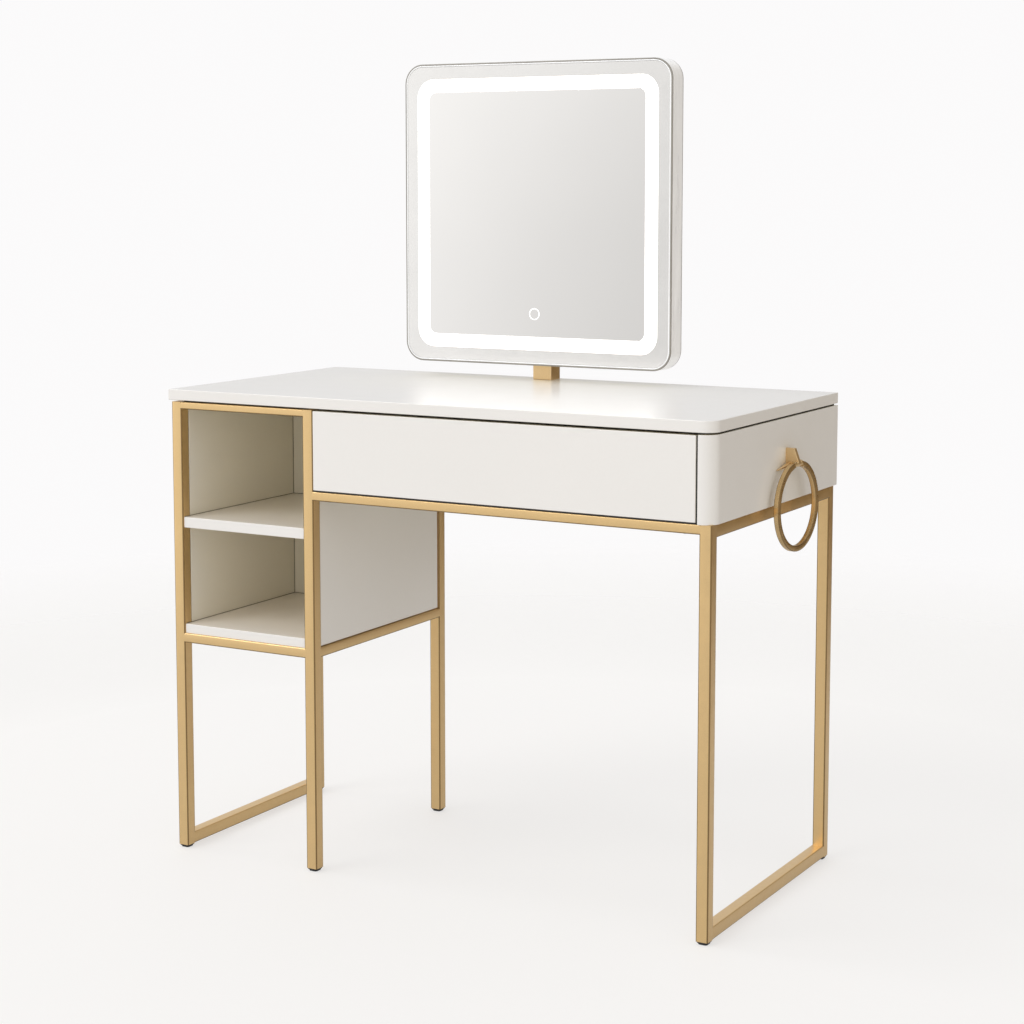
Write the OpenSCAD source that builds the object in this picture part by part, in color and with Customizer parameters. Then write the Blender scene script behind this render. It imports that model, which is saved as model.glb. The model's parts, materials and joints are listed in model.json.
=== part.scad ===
// Dressing table with a slim metal frame, a shelf tower, one push-to-open drawer,
// a lit square mirror that tilts on a short post, and a swing ring on the side.
// Millimetres. X is to the right, Y to the back, Z up, and the floor is Z = 0.

/* [Table] */
// Width of the top
table_w = 1000; // [900:1:1200]
// Depth of the top
table_d = 500; // [480:1:560]
// Height of the top surface above the floor
table_h = 790; // [760:1:810]
// Thickness of the top
top_t = 18; // [16:1:25]
// Radius of the rounded front right corner
corner_r = 24; // [20:1:26]
// Height of the shadow gap under the top
reveal = 3; // [2:0.5:5]

/* [Frame] */
// Side of the square tube
tube = 20; // [20:1:22]
// Wall of the tube
tube_wall = 1.5; // [1:0.1:2]
// Setback of the frame from the edge of the top
setback = 4; // [3:0.5:6]
// Height of a foot glide below the leg
foot_h = 5; // [3:0.5:8]
// Outer width of the shelf tower
tower_w = 286; // [270:1:310]
// Outer depth of the shelf tower
tower_d = 412; // [400:1:440]
// Height of the rail below the drawer
drawer_rail_h = 15; // [12:1:18]

/* [Tower] */
// Underside of the middle shelf
shelf_z = 556; // [520:1:580]
// Thickness of the middle shelf
shelf_t = 18; // [15:1:20]
// Underside of the tower floor
floor_z = 375; // [350:1:400]
// Thickness of the tower floor
floor_t = 16; // [15:1:20]
// Height of the rail below the tower floor
tower_rail_h = 16; // [14:1:20]
// Height of the rail above the upper compartment
tower_top_rail_h = 12; // [10:1:16]
// Distance from the tower's back edge in to its back panel
back_inset = 80; // [30:1:90]

/* [Drawer] */
// Height of the drawer opening under the top
bay_h = 133; // [124:1:140]
// Gap around the drawer front
front_gap = 3; // [2:0.5:4]
// Thickness of the drawer front
front_t = 18; // [16:1:20]
// Thickness of the drawer sides
side_t = 15; // [12:1:16]
// Height of the drawer sides
side_h = 90; // [80:1:95]
// Depth of the drawer box behind the front
box_d = 432; // [400:1:440]

/* [Mirror] */
// Width and height of the mirror
mirror_s = 525; // [500:1:560]
// Corner radius of the mirror
mirror_r = 35; // [30:1:40]
// Depth of the mirror housing
mirror_d = 43; // [42:1:50]
// Gap between the top and the mirror
mirror_gap = 27; // [24:1:40]
// Distance from the left edge of the top to the middle of the mirror
mirror_x = 466; // [400:1:520]
// Distance from the front edge of the top to the mirror face
mirror_y = 427; // [424:1:430]
// Distance from the mirror edge to the lit band
band_inset = 26; // [20:1:32]
// Width of the lit band
band_w = 24; // [18:1:28]
// Outer diameter of the touch mark
mark_d = 20; // [16:1:24]

/* [Post] */
// Width of the post
post_w = 36; // [34:1:40]
// Depth of the post
post_d = 32; // [30:1:34]

/* [Ring] */
// Outer diameter of the ring
ring_d = 142; // [130:1:150]
// Side of the ring bar
ring_bar = 8; // [7:0.5:9]
// Distance from the side panel to the hinge pin
ring_out = 18; // [18:0.5:22]
// Height of the hinge pin above the floor
ring_z = 698; // [690:1:705]
// Distance from the front edge of the top to the ring
ring_y = 278; // [240:1:290]
// Angle between the hinge pin and the side panel
ring_yaw = 4; // [0:1:8]

/* [Hidden] */
$fn = 48;

white = [0.94, 0.92, 0.89];
gold = [0.79, 0.68, 0.50];
black = [0.08, 0.08, 0.08];
steel = [0.70, 0.71, 0.72];

// Heights.
top_z = table_h - top_t;
case_z = top_z - reveal;
deck_z = case_z - bay_h;
leg_z = foot_h;

// Plan positions of the frame.
frame_l = setback;
frame_r = table_w - setback;
frame_f = setback;
frame_b = table_d - setback;
tower_r = frame_l + tower_w;
span_f = frame_f + tube;
span_b = frame_b - tube;
tower_b = frame_f + tower_d;
tower_span_b = tower_b - tube;
tower_in_l = frame_l + tube;
tower_in_r = tower_r - tube;

// Panels.
panel_t = 18;
return_x = frame_r - tube - 2;
side_in = table_w - panel_t;
left_t = 16;
back_t = 10;
back_y = tower_b - back_inset - back_t;
apron_t = 16;
apron_z = deck_z - 30;
latch_gap = 2.5;

// Drawer box and its runners.
runner_t = 13.2;
runner_h = 45;
runner_l = 350;
runner_z = deck_z + 65;
runner_left = tower_r - 2;
runner_right = return_x;
box_l = runner_left + runner_t;
box_r = runner_right - runner_t;
box_z = deck_z + 20;
bottom_t = 6;

// Mirror. Its own middle is the pivot height.
mirror_z0 = table_h + mirror_gap;
pivot_z = mirror_z0 + mirror_s / 2;
pivot_y = mirror_y + 46;
rim_t = 3;
glass_y = mirror_y + 1;
glass_t = 4;
glass_s = mirror_s - 2 * rim_t;
backer_t = 5;
channel_w = 60;
channel_y = mirror_y + 25;
channel_top = 45;
sheet_t = 3;
mark_z = mirror_z0 + 90;

// Hinge between the post and the mirror.
pin_d = 8;
barrel_r = 9;
head_w = 27.4;
lug_t = 6;
lug_in = 14;
post_wall = 2;
post_y = pivot_y - post_d / 2;
post_top = pivot_z - 26;

// Ring.
ring_r = ring_d / 2;
ring_mid = ring_r - ring_bar / 2;
knuckle_r = 5;
knuckle_l = 6;
ring_lug_t = 14;
knuckle_y = ring_lug_t / 2 + 0.4;
ring_pin_l = 2 * (knuckle_y + knuckle_l) - 1;
ring_pin_d = 4;
ring_x = table_w + ring_out;
ring_reach = ring_out + ring_r * sin(ring_yaw) + ring_bar / 2 * cos(ring_yaw);

// The origin is the middle of the outline on the floor.
mid_x = (table_w + ring_reach) / 2;
mid_y = table_d / 2;

// A box from its low corner to its high corner.
module span(a, b) {
    translate(a) cube(b - a);
}

// A square with round corners, centred.
module round_square(s, r) {
    square([s, s - 2 * r], center = true);
    square([s - 2 * r, s], center = true);
    for (i = [-1, 1], j = [-1, 1]) {
        translate([i * (s / 2 - r), j * (s / 2 - r)]) circle(r = r);
    }
}

// A standing slab in the plane of the mirror, from y0 to y1.
module mirror_slab(y0, y1) {
    translate([mirror_x, y1, pivot_z]) rotate([90, 0, 0]) linear_extrude(y1 - y0) children();
}

// A round bar along X, centred on x = 0.
module bar_x(r, l) {
    rotate([0, 90, 0]) cylinder(r = r, h = l, center = true);
}

// A round bar along Y, from y = 0.
module bar_y(r, l) {
    rotate([-90, 0, 0]) cylinder(r = r, h = l);
}

// A square tube that stands, open at its foot.
module leg(x, y, z1) {
    color(gold) difference() {
        span([x, y, leg_z], [x + tube, y + tube, z1]);
        span([x + tube_wall, y + tube_wall, leg_z - 1],
             [x + tube - tube_wall, y + tube - tube_wall, z1 - tube_wall]);
    }
}

// A rail with closed walls. axis is 0 along X, 1 along Y.
module rail(a, b, axis) {
    w = tube_wall;
    cut_a = axis == 0 ? [a[0] - 1, a[1] + w, a[2] + w] : [a[0] + w, a[1] - 1, a[2] + w];
    cut_b = axis == 0 ? [b[0] + 1, b[1] - w, b[2] - w] : [b[0] - w, b[1] + 1, b[2] - w];
    color(gold) difference() {
        span(a, b);
        span(cut_a, cut_b);
    }
}

leg_places = [
    [frame_l, frame_f], [frame_l, tower_span_b], [tower_r - tube, frame_f],
    [tower_r - tube, tower_span_b], [frame_r - tube, frame_f], [frame_r - tube, frame_b - tube]
];

module foot_glides() {
    color(black) for (p = leg_places) {
        span([p[0] + 1, p[1] + 1, 0], [p[0] + tube - 1, p[1] + tube - 1, leg_z]);
        span([p[0] + tube_wall, p[1] + tube_wall, leg_z - 0.01],
             [p[0] + tube - tube_wall, p[1] + tube - tube_wall, leg_z + 15]);
    }
}

module leg_left_front() {
    leg(leg_places[0][0], leg_places[0][1], case_z);
}

module leg_left_back() {
    leg(leg_places[1][0], leg_places[1][1], case_z);
}

module leg_tower_front() {
    leg(leg_places[2][0], leg_places[2][1], case_z);
}

module leg_tower_back() {
    leg(leg_places[3][0], leg_places[3][1], case_z);
}

module leg_right_front() {
    leg(leg_places[4][0], leg_places[4][1], deck_z);
}

module leg_right_back() {
    leg(leg_places[5][0], leg_places[5][1], deck_z);
}

module rail_floor_left() {
    rail([frame_l, span_f, leg_z], [tower_in_l, tower_span_b, leg_z + tube], 1);
}

module rail_floor_right() {
    rail([frame_r - tube, span_f, leg_z], [frame_r, span_b, leg_z + tube], 1);
}

module rail_drawer_front() {
    rail([tower_r, frame_f, deck_z - drawer_rail_h], [frame_r - tube, span_f, deck_z], 0);
}

module rail_side_right() {
    rail([frame_r - tube, span_f, deck_z - tube], [frame_r, span_b, deck_z], 1);
}

module rail_tower_top() {
    rail([tower_in_l, frame_f, case_z - tower_top_rail_h], [tower_in_r, span_f, case_z], 0);
}

module rail_tower_front() {
    rail([tower_in_l, frame_f, floor_z - tower_rail_h], [tower_in_r, span_f, floor_z], 0);
}

module rail_tower_left() {
    rail([frame_l, span_f, floor_z - tower_rail_h], [tower_in_l, tower_span_b, floor_z], 1);
}

module rail_tower_right() {
    rail([tower_in_r, span_f, floor_z - tower_rail_h], [tower_r, tower_span_b, floor_z], 1);
}

module rail_tower_back() {
    rail([tower_in_l, tower_span_b, floor_z - tower_rail_h], [tower_in_r, tower_b, floor_z], 0);
}

// The outline of the top: three square corners and a round front right one.
module top_outline() {
    translate([0, corner_r]) square([table_w, table_d - corner_r]);
    square([table_w - corner_r, corner_r + 1]);
    translate([table_w - corner_r, corner_r]) circle(r = corner_r);
}

module top_panel() {
    color(white) difference() {
        translate([0, 0, top_z]) linear_extrude(top_t) top_outline();
        bolt_holes(top_z - 1, table_h + 1);
    }
}

module reveal_battens() {
    color(black) {
        span([tower_in_l, frame_f + 8, case_z], [tower_in_r, span_f, top_z]);
        span([frame_l + 6, span_f + 20, case_z], [tower_in_l - 2, tower_span_b, top_z]);
        span([tower_in_r + 3, span_f + 20, case_z], [tower_r - 5, tower_span_b - 8, top_z]);
        span([tower_in_r + 3, tower_b + 4, case_z], [tower_r - 5, frame_b - 4, top_z]);
        span([side_in + 2, corner_r + 10, case_z], [frame_r, frame_b - 4, top_z]);
        span([tower_in_r + 3, frame_b - 13, case_z], [side_in - 10, frame_b - 2, top_z]);
    }
}

module tower_panel_left() {
    color(white) span([tower_in_l - left_t, span_f, floor_z], [tower_in_l, tower_span_b, case_z]);
}

module tower_panel_right() {
    color(white) span([tower_in_r, span_f, floor_z + 2], [tower_r - 2, tower_span_b - 2, case_z]);
}

module tower_panel_back() {
    color(white) span([tower_in_l, back_y, floor_z], [tower_in_r, back_y + back_t, case_z]);
}

module tower_shelf() {
    color(white) span([tower_in_l, frame_f + 2.5, shelf_z],
                      [tower_in_r, back_y, shelf_z + shelf_t]);
}

module tower_floor() {
    color(white) span([tower_in_l, frame_f + 2.5, floor_z],
                      [tower_in_r, back_y, floor_z + floor_t]);
}

// The side panel turns the corner at the front and closes the drawer bay.
module side_panel_right() {
    color(white) difference() {
        translate([0, 0, deck_z]) linear_extrude(case_z - deck_z) difference() {
            union() {
                translate([side_in, corner_r]) square([panel_t, table_d - corner_r]);
                translate([return_x, 0]) square([table_w - corner_r - return_x, panel_t]);
                intersection() {
                    translate([table_w - corner_r, corner_r]) circle(r = corner_r);
                    translate([table_w - corner_r, 0]) square([corner_r, corner_r + 0.01]);
                }
            }
            translate([return_x - 1, panel_t]) square([side_in - return_x + 1, corner_r]);
        }
        ring_screw_bars(3.6, 4.2);
    }
}

// Closes the drawer bay between the tower and the apron.
module bay_side_left() {
    color(white) span([tower_in_r, tower_b, apron_z], [tower_r - 2, frame_b - apron_t, case_z]);
}

module back_apron() {
    color(white) {
        span([tower_in_r, frame_b - apron_t, apron_z], [frame_r - tube, frame_b, case_z]);
        span([frame_r - tube - 1, frame_b - apron_t, deck_z], [side_in, frame_b, case_z]);
    }
}

module runner_packer() {
    color(white) span([return_x, span_f, box_z + 10], [side_in, frame_b - apron_t, box_z + 80]);
}

module push_latch() {
    tip_y = front_t + box_d + latch_gap;
    color(black) translate([(box_l + box_r) / 2, 0, runner_z]) {
        span([-14, tip_y + 6, -8], [14, frame_b - apron_t, 8]);
        translate([0, tip_y, 0]) bar_y(4, 7);
    }
}

// A channel that opens away from the face at x = 0. d is its depth and side its direction.
module runner_member(x0, x1, h, y0, plate_first) {
    w = 1.2;
    px = plate_first ? x0 : x1 - w;
    translate([0, y0, runner_z]) {
        span([px, 0, -h / 2], [px + w, runner_l, h / 2]);
        span([x0, 0, -h / 2], [x1, runner_l, -h / 2 + w]);
        span([x0, 0, h / 2 - w], [x1, runner_l, h / 2]);
    }
}

// The same member on both sides of the drawer box.
module runner_pair(a, b, h, y0, plate_first) {
    color(steel) {
        runner_member(runner_left + a, runner_left + b, h, y0, plate_first);
        runner_member(runner_right - b, runner_right - a, h, y0, !plate_first);
    }
}

module runner_fixed() {
    runner_pair(0, 10, runner_h, 28, true);
}

module runner_middle() {
    runner_pair(2.8, 9.8, 38, 25, true);
}

module runner_drawer() {
    runner_pair(5.5, runner_t, 30, 22, false);
}

module drawer_front() {
    color(white) span([tower_r + front_gap, 0, deck_z + front_gap],
                      [return_x - front_gap, front_t, case_z - 1]);
}

module drawer_side_left() {
    color(white) span([box_l, front_t, box_z], [box_l + side_t, front_t + box_d, box_z + side_h]);
}

module drawer_side_right() {
    color(white) span([box_r - side_t, front_t, box_z], [box_r, front_t + box_d, box_z + side_h]);
}

module drawer_back() {
    color(white) span([box_l + side_t, front_t + box_d - side_t, box_z],
                      [box_r - side_t, front_t + box_d, box_z + side_h]);
}

module drawer_bottom() {
    color(white) span([box_l + side_t, front_t, box_z + 6],
                      [box_r - side_t, front_t + box_d - side_t, box_z + 6 + bottom_t]);
}

// The housing wall, notched below for the post.
module mirror_frame() {
    color(white) difference() {
        mirror_slab(mirror_y, mirror_y + mirror_d) difference() {
            round_square(mirror_s, mirror_r);
            round_square(glass_s, mirror_r - rim_t);
        }
        span([mirror_x - channel_w / 2, channel_y, mirror_z0 - 1],
             [mirror_x + channel_w / 2, mirror_y + mirror_d + 1, mirror_z0 + rim_t + 1]);
    }
}

band_s = mirror_s - 2 * band_inset;
band_in = band_s - 2 * band_w;

module mirror_border() {
    color(steel) mirror_slab(glass_y, glass_y + glass_t) difference() {
        round_square(glass_s, mirror_r - rim_t);
        round_square(band_s, mirror_r - 2);
    }
}

module light_band() {
    color([1, 0.99, 0.96]) mirror_slab(glass_y, glass_y + glass_t) difference() {
        round_square(band_s, mirror_r - 2);
        round_square(band_in, 13);
    }
}

// A round mark on the glass, from y0 to y1.
module mark_tube(y0, y1) {
    translate([mirror_x, y0, mark_z]) difference() {
        bar_y(mark_d / 2, y1 - y0);
        translate([0, -1, 0]) bar_y(mark_d / 2 - 2, y1 - y0 + 2);
    }
}

module mirror_glass() {
    color(steel) difference() {
        mirror_slab(glass_y, glass_y + glass_t) round_square(band_in, 13);
        mark_tube(glass_y - 1, glass_y + 0.8);
    }
}

module touch_mark() {
    color([1, 0.99, 0.96]) mark_tube(glass_y, glass_y + 0.8);
}

backer_y = glass_y + glass_t;

module board_outline() {
    difference() {
        round_square(band_s - 6, mirror_r - 5);
        round_square(band_in + 6, 16);
    }
}

module mirror_backer() {
    color(steel) difference() {
        mirror_slab(backer_y, backer_y + backer_t) round_square(glass_s, mirror_r - rim_t);
        mirror_slab(backer_y - 1, backer_y + 2) board_outline();
    }
}

module led_board() {
    color(white) mirror_slab(backer_y, backer_y + 2) board_outline();
}

module led_driver() {
    color(black) translate([mirror_x - 150, backer_y + backer_t, pivot_z - 60])
        span([-60, 0, -30], [60, 20, 30]);
}

module touch_sensor() {
    color([0.10, 0.25, 0.16]) translate([mirror_x, backer_y + backer_t, mark_z])
        span([-15, 0, -15], [15, 5, 15]);
}

// The back sheet, with the channel that the post stands in.
module mirror_back() {
    hw = channel_w / 2;
    sheet_y = mirror_y + mirror_d - sheet_t;
    up = pivot_z + channel_top;
    low = mirror_z0 + rim_t;
    x = mirror_x;
    color(white) {
        difference() {
            mirror_slab(sheet_y, sheet_y + sheet_t) round_square(glass_s, mirror_r - rim_t);
            span([x - hw, sheet_y - 1, mirror_z0], [x + hw, sheet_y + sheet_t + 1, up]);
            translate([x + 130, sheet_y - 1, mirror_z0 + 30]) bar_y(5, sheet_t + 2);
        }
        span([x - hw - 3, channel_y - sheet_t, low], [x + hw + 3, channel_y, up + 3]);
        for (s = [-1, 1]) {
            span([x + s * (hw + 1.5) - 1.5, channel_y, low],
                 [x + s * (hw + 1.5) + 1.5, sheet_y + 0.01, up + 3]);
        }
        span([x - hw, channel_y, up], [x + hw, sheet_y + 0.01, up + 3]);
    }
}

module power_inlet() {
    color(black) translate([mirror_x + 130, mirror_y + mirror_d - 14, mirror_z0 + 30]) difference() {
        union() {
            bar_y(5, 14);
            translate([0, 14, 0]) bar_y(8, 2);
        }
        translate([0, 4, 0]) bar_y(2.8, 20);
    }
}

// Two lugs on a plate, which hold the pin.
module hinge_bracket() {
    color(gold) translate([mirror_x, pivot_y, pivot_z]) difference() {
        union() {
            span([-26, channel_y - pivot_y, -35], [26, channel_y - pivot_y + 3, 35]);
            for (s = [-1, 1]) {
                xc = s * (lug_in + lug_t / 2);
                span([xc - lug_t / 2, channel_y - pivot_y + 2, -barrel_r],
                     [xc + lug_t / 2, 0, barrel_r]);
                translate([xc, 0, 0]) bar_x(barrel_r, lug_t);
            }
        }
        bar_x(pin_d / 2 + 0.05, 80);
    }
}

module post() {
    color(gold) difference() {
        span([mirror_x - post_w / 2, post_y, table_h], [mirror_x + post_w / 2, post_y + post_d, post_top]);
        span([mirror_x - post_w / 2 + post_wall, post_y + post_wall, table_h - 1],
             [mirror_x + post_w / 2 - post_wall, post_y + post_d - post_wall, post_top + 1]);
    }
}

// Two bolts come up through the top into the foot of the post.
module bolt_holes(z0, z1) {
    for (s = [-1, 1]) {
        translate([mirror_x + s * 9, pivot_y, z0]) cylinder(d = 6, h = z1 - z0);
    }
}

module post_foot() {
    color(steel) difference() {
        span([mirror_x - post_w / 2 + post_wall, post_y + post_wall, table_h],
             [mirror_x + post_w / 2 - post_wall, post_y + post_d - post_wall, table_h + 12]);
        bolt_holes(table_h - 1, table_h + 13);
    }
}

module post_bolts() {
    color(steel) {
        bolt_holes(top_z - 4, table_h + 10);
        for (s = [-1, 1]) {
            translate([mirror_x + s * 9, pivot_y, top_z - 4]) cylinder(d = 10, h = 4);
        }
    }
}

module post_head() {
    color(gold) difference() {
        union() {
            span([mirror_x - post_w / 2 + post_wall, post_y + post_wall, post_top - 20],
                 [mirror_x + post_w / 2 - post_wall, post_y + post_d - post_wall, post_top + 0.01]);
            span([mirror_x - post_w / 2, post_y, post_top],
                 [mirror_x + post_w / 2, post_y + post_d, post_top + 4]);
            span([mirror_x - head_w / 2, pivot_y - barrel_r, post_top + 3],
                 [mirror_x + head_w / 2, pivot_y + barrel_r, pivot_z]);
            translate([mirror_x, pivot_y, pivot_z]) bar_x(barrel_r, head_w);
        }
        translate([mirror_x, pivot_y, pivot_z]) bar_x(pin_d / 2, 80);
    }
}

module hinge_pin() {
    half = lug_in + lug_t;
    color(steel) translate([mirror_x, pivot_y, pivot_z]) {
        bar_x(pin_d / 2, 2 * half + 1);
        for (s = [-1, 1]) {
            translate([s * (half + 2), 0, 0]) bar_x(6, 3);
        }
    }
}

// Puts its children at the ring's hinge, with Y along the pin.
module at_ring() {
    translate([ring_x, ring_y, ring_z]) rotate([0, 0, -ring_yaw]) children();
}

module ring_bracket() {
    color(gold) difference() {
        at_ring() {
            translate([0, ring_lug_t / 2, 0]) rotate([90, 0, 0]) linear_extrude(ring_lug_t) {
                polygon([[-30, 22], [-7, 22], [4.8, 1.4], [0, -5], [-30, -7]]);
            }
            translate([0, -ring_lug_t / 2, 0]) bar_y(knuckle_r, ring_lug_t);
            translate([-10, 1 - ring_lug_t / 2, -2]) rotate([102, 0, 0]) cylinder(r1 = 3.6, r2 = 0.8, h = 25);
        }
        span([table_w - 40, ring_y - 40, ring_z - 40], [table_w, ring_y + 40, ring_z + 60]);
        at_ring() translate([0, -30, 0]) bar_y(ring_pin_d / 2, 60);
        ring_screw_bars(3.6, 3.6);
    }
}

// Two screws through the side panel into the bracket: shank and head diameters.
module ring_screw_bars(shank, head) {
    for (dz = [3, 14]) {
        translate([side_in, ring_y, ring_z + dz]) rotate([0, 90, 0]) {
            cylinder(d = shank, h = panel_t + 6);
            translate([0, 0, -0.01]) cylinder(d = head, h = 3);
        }
    }
}

module ring_screws() {
    color(steel) ring_screw_bars(3.6, 4.2);
}

module ring_pin() {
    color(gold) at_ring() translate([0, -ring_pin_l / 2, 0]) bar_y(ring_pin_d / 2, ring_pin_l);
}

// The bar ends in two knuckles, one on each side of the bracket.
module swing_ring() {
    half = knuckle_y + knuckle_l;
    color(gold) at_ring() difference() {
        union() {
            difference() {
                translate([0, 0, -ring_mid]) rotate([0, 90, 0]) rotate_extrude($fn = 96)
                    translate([ring_mid - ring_bar / 2, -ring_bar / 2]) square(ring_bar);
                span([-ring_bar, -half, -ring_bar - 1], [ring_bar, half, ring_bar]);
            }
            for (s = [-1, 1]) {
                translate([0, s > 0 ? knuckle_y : -half, 0]) bar_y(knuckle_r, knuckle_l);
            }
        }
        translate([0, -half, 0]) bar_y(ring_pin_d / 2 + 0.06, 2 * half);
    }
}

translate([-mid_x, -mid_y, 0]) {
    foot_glides();
    leg_left_front();
    leg_left_back();
    leg_tower_front();
    leg_tower_back();
    leg_right_front();
    leg_right_back();
    rail_floor_left();
    rail_floor_right();
    rail_drawer_front();
    rail_side_right();
    rail_tower_top();
    rail_tower_front();
    rail_tower_left();
    rail_tower_right();
    rail_tower_back();
    top_panel();
    reveal_battens();
    tower_panel_left();
    tower_panel_right();
    tower_panel_back();
    tower_shelf();
    tower_floor();
    side_panel_right();
    bay_side_left();
    back_apron();
    runner_packer();
    push_latch();
    runner_fixed();
    runner_middle();
    runner_drawer();
    drawer_front();
    drawer_side_left();
    drawer_side_right();
    drawer_back();
    drawer_bottom();
    mirror_frame();
    mirror_border();
    light_band();
    mirror_glass();
    touch_mark();
    mirror_backer();
    led_board();
    led_driver();
    touch_sensor();
    mirror_back();
    power_inlet();
    hinge_bracket();
    post();
    post_foot();
    post_head();
    hinge_pin();
    post_bolts();
    ring_bracket();
    ring_screws();
    ring_pin();
    swing_ring();
}
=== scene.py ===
"""The looks of the vanity table: lacquered boards, powder-coated tube, a lit mirror and a swing ring."""
import json
import math
import random

import bpy
import bmesh
from mathutils import Matrix, Vector


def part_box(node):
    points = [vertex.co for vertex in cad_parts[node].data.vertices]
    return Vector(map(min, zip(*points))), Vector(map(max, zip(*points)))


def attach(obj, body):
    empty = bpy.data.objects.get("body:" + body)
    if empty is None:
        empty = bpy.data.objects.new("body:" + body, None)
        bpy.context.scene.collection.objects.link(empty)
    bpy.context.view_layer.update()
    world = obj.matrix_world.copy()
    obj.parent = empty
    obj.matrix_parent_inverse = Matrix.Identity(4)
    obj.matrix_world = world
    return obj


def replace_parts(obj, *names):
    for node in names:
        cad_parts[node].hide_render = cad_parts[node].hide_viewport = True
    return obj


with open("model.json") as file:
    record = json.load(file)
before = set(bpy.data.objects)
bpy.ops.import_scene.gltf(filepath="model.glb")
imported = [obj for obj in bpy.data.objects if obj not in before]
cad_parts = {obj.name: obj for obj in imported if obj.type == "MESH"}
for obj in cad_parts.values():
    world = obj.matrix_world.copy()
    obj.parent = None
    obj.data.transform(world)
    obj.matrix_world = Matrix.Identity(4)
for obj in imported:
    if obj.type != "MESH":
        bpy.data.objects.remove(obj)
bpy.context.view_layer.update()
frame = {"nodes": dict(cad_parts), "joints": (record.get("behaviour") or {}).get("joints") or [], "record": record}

MM = 0.001
JOINTS = {j["name"]: j for j in frame["joints"]}
rng = random.Random(7)


# ---------------------------------------------------------------- materials

# Painted shade and painted light in the lacquer: its colour is multiplied by these where other surfaces are near.
# The first darkens and warms the corners and compartments, a painted shade; the second brightens the shelf boards
# there, a painted light.
CORNER_PAINTED_SHADE = (0.985, 0.945, 0.80)
SHELF_PAINTED_LIGHT = (1.12, 1.06, 0.96)
FLOOR_GLOW = 0.30
FLOOR_GLOW_SEEN = 0.60
FLOOR_FADE_START = 1.3
FLOOR_FADE_END = 3.2
FLOOR_RADIUS = 3.4


def mix_colours(tree, factor, first, second, blend_type="MIX"):
    """A node that mixes first and second, each a colour or a socket. Returns its colour."""
    node = tree.nodes.new("ShaderNodeMix")
    node.data_type = "RGBA"
    node.blend_type = blend_type
    for socket, value in ((node.inputs["Factor"], factor), (node.inputs[6], first), (node.inputs[7], second)):
        if isinstance(value, tuple):
            socket.default_value = (*value, 1)
        elif isinstance(value, (int, float)):
            socket.default_value = value
        else:
            tree.links.new(value, socket)
    return node.outputs[2]


class Surface:
    """A Principled material with object coordinates, in metres, and short ways to add nodes."""

    def __init__(self, name, colour, roughness, metallic=0.0, **sockets):
        self.material = bpy.data.materials.new(name)
        self.material.use_nodes = True
        self.tree = self.material.node_tree
        self.shader = self.tree.nodes["Principled BSDF"]
        self.shader.inputs["Base Color"].default_value = (*colour, 1)
        self.shader.inputs["Roughness"].default_value = roughness
        self.shader.inputs["Metallic"].default_value = metallic
        for socket, value in sockets.items():
            self.shader.inputs[socket.replace("_", " ")].default_value = value
        self.place = self.tree.nodes.new("ShaderNodeTexCoord").outputs["Object"]
        self.normal = None

    def link(self, out, target):
        self.tree.links.new(out, target)

    def stretch(self, scale):
        """The object coordinates, scaled per axis."""
        node = self.tree.nodes.new("ShaderNodeMapping")
        node.inputs["Scale"].default_value = scale
        self.link(self.place, node.inputs["Vector"])
        return node.outputs["Vector"]

    def noise(self, size, detail=2.0, vector=None):
        """Noise whose features are about size metres across, from 0 to 1."""
        node = self.tree.nodes.new("ShaderNodeTexNoise")
        node.inputs["Scale"].default_value = 1 / size
        node.inputs["Detail"].default_value = detail
        self.link(vector or self.place, node.inputs["Vector"])
        return node.outputs["Fac"]

    def cells(self, size, feature="F1"):
        """Voronoi distance in cells about size metres across."""
        node = self.tree.nodes.new("ShaderNodeTexVoronoi")
        node.feature = feature
        node.inputs["Scale"].default_value = 1 / size
        self.link(self.place, node.inputs["Vector"])
        return node.outputs["Distance"]

    def spread(self, value, low, high, start=0.0, end=1.0):
        """value, remapped from start..end to low..high."""
        node = self.tree.nodes.new("ShaderNodeMapRange")
        for socket, number in zip(("From Min", "From Max", "To Min", "To Max"), (start, end, low, high)):
            node.inputs[socket].default_value = number
        self.link(value, node.inputs["Value"])
        return node.outputs["Result"]

    def open_air(self, distance):
        """1 where nothing is near, falling to 0 in corners and inside the compartments."""
        node = self.tree.nodes.new("ShaderNodeAmbientOcclusion")
        node.samples = 4
        node.inputs["Distance"].default_value = distance
        return node.outputs["AO"]

    def maths(self, operation, a, b):
        node = self.tree.nodes.new("ShaderNodeMath")
        node.operation = operation
        for socket, value in zip(node.inputs, (a, b)):
            if isinstance(value, (int, float)):
                socket.default_value = value
            else:
                self.link(value, socket)
        return node.outputs["Value"]

    def blend(self, factor, first, second):
        """A colour between first and second, each a colour or a socket."""
        return mix_colours(self.tree, factor, first, second)

    def colour(self, out):
        self.link(out, self.shader.inputs["Base Color"])

    def roughness(self, out):
        self.link(out, self.shader.inputs["Roughness"])

    def bump(self, height, depth, strength=1.0):
        """Adds relief of depth metres, on top of any bump there is."""
        node = self.tree.nodes.new("ShaderNodeBump")
        node.inputs["Strength"].default_value = strength
        node.inputs["Distance"].default_value = depth
        self.link(height, node.inputs["Height"])
        if self.normal:
            self.link(self.normal, node.inputs["Normal"])
        self.normal = node.outputs["Normal"]
        self.link(self.normal, self.shader.inputs["Normal"])


def shade(colour, factor):
    return tuple(min(1.0, c * factor) for c in colour)


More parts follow.
